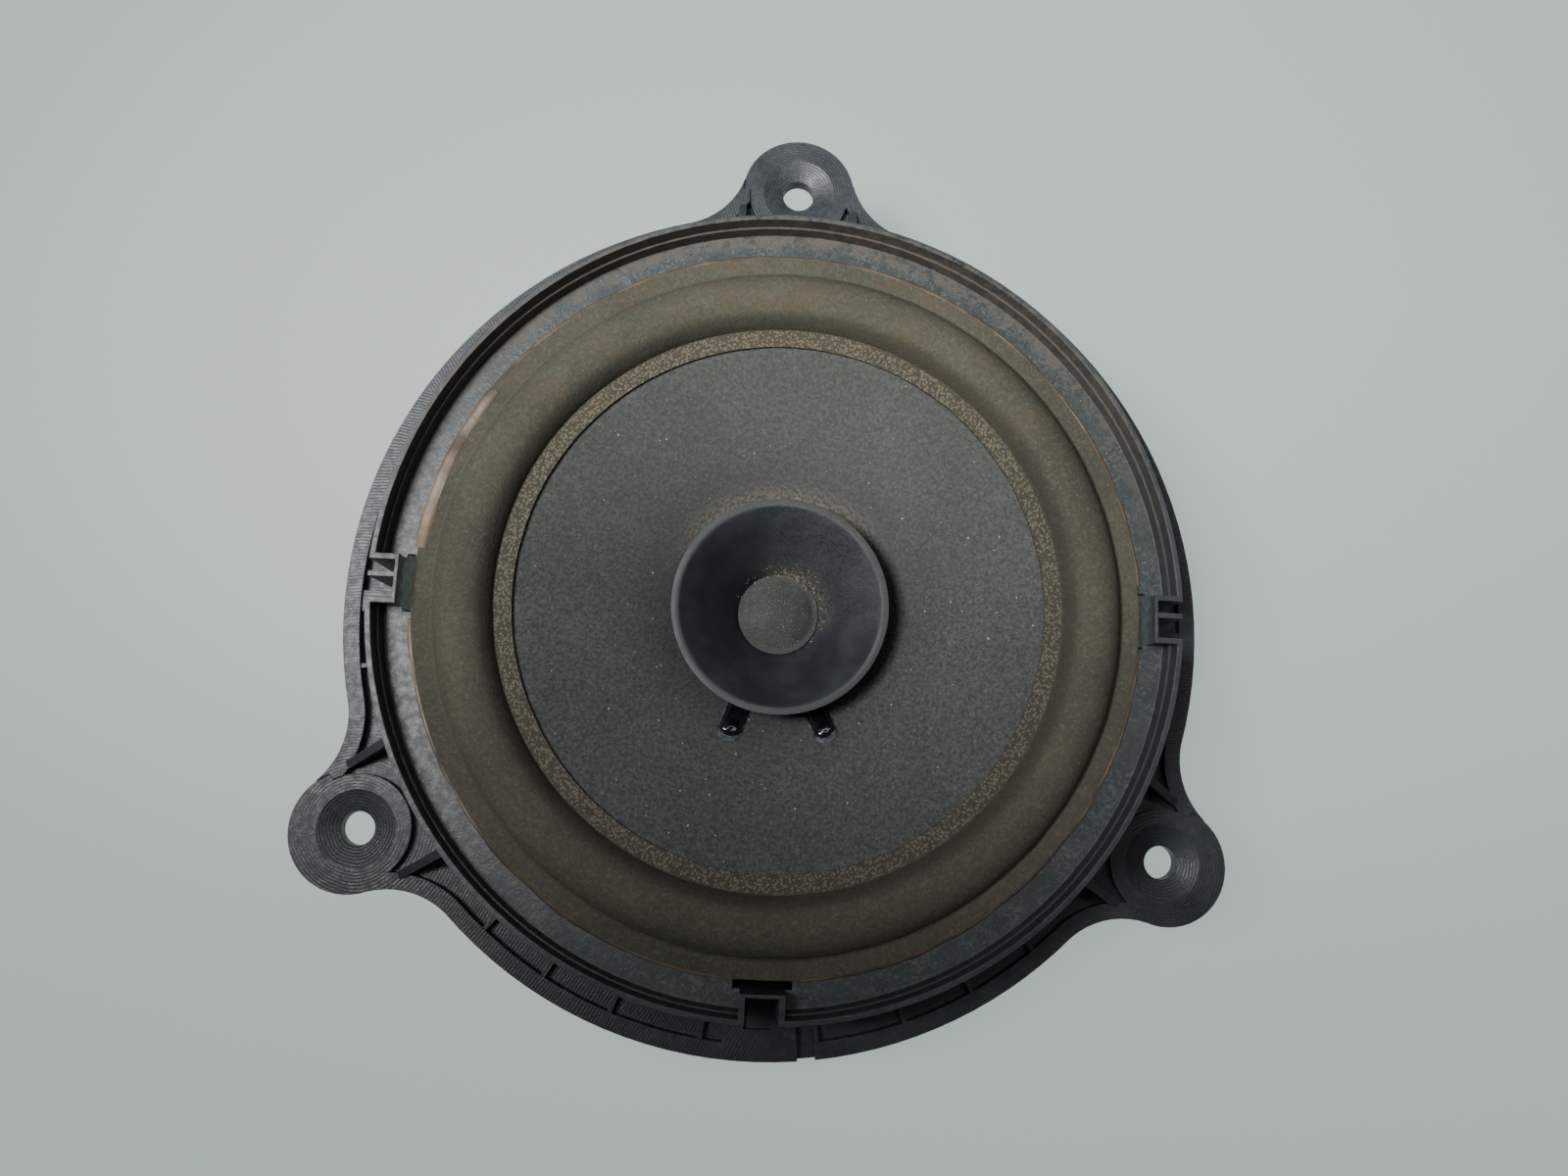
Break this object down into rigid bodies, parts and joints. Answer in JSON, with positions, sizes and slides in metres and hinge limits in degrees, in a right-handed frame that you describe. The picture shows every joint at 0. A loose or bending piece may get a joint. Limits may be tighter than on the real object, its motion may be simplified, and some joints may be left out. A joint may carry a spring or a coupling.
{
  "type": "car door speaker",
  "caption": "Round car door speaker with a tall moulded collar, three mounting ears, a foam surround, a paper cone with an inner whizzer cone and a ferrite motor.",
  "frame": {"origin": "centre of the mounting face, in the plane of the three ears' rear faces, on the speaker's axis", "axes": "+Z out of the front of the speaker along its axis, +Y towards the upper ear, +X to the right as seen from the front"},
  "size_m": [0.181, 0.1862, 0.0644],
  "materials": {
    "moulded_plastic": "satin",
    "foam_seal": "matte",
    "surround_foam": "matte",
    "amber_glue": "satin",
    "cone_paper": "matte",
    "whizzer_paper": "satin",
    "cap_cloth": "matte",
    "black_glue": "gloss",
    "brass": "satin",
    "former_paper": "satin",
    "winding_copper": "gloss",
    "spider_cloth": "matte",
    "plated_steel": "satin",
    "ferrite": "matte",
    "clear_glue": "satin",
    "tinned_metal": "satin",
    "connector_plastic": "satin",
    "lead_braid": "satin"
  },
  "bodies": {
    "frame": {"basket": "moulded_plastic", "rear_seal": "foam_seal", "surround": "surround_foam", "surround_glue_bead": "amber_glue", "spider": "spider_cloth", "spider_glue_ring": "amber_glue", "top_plate": "plated_steel", "magnet": "ferrite", "back_plate": "plated_steel", "pole_piece": "plated_steel", "magnet_glue": "clear_glue", "motor_rivets": "tinned_metal", "connector_housing": "connector_plastic", "terminal_positive": "tinned_metal", "terminal_negative": "tinned_metal", "terminal_rivets": "brass", "tinsel_lead_positive": "lead_braid", "tinsel_lead_negative": "lead_braid", "lead_solder": "tinned_metal"},
    "diaphragm": {"cone": "cone_paper", "whizzer_cone": "whizzer_paper", "dust_cap": "cap_cloth", "neck_glue": "black_glue", "lead_glue": "black_glue", "cone_eyelets": "brass", "voice_coil_former": "former_paper", "voice_coil_winding": "winding_copper"}
  },
  "joints": [
    {"name": "cone_excursion", "type": "slide", "parent": "frame", "child": "diaphragm", "axis": [0, 0, 1], "range_m": [-0.004, 0.004], "stiffness_N_per_m": 1800, "deforming": ["surround", "spider", "tinsel_lead_positive", "tinsel_lead_negative"]}
  ]
}
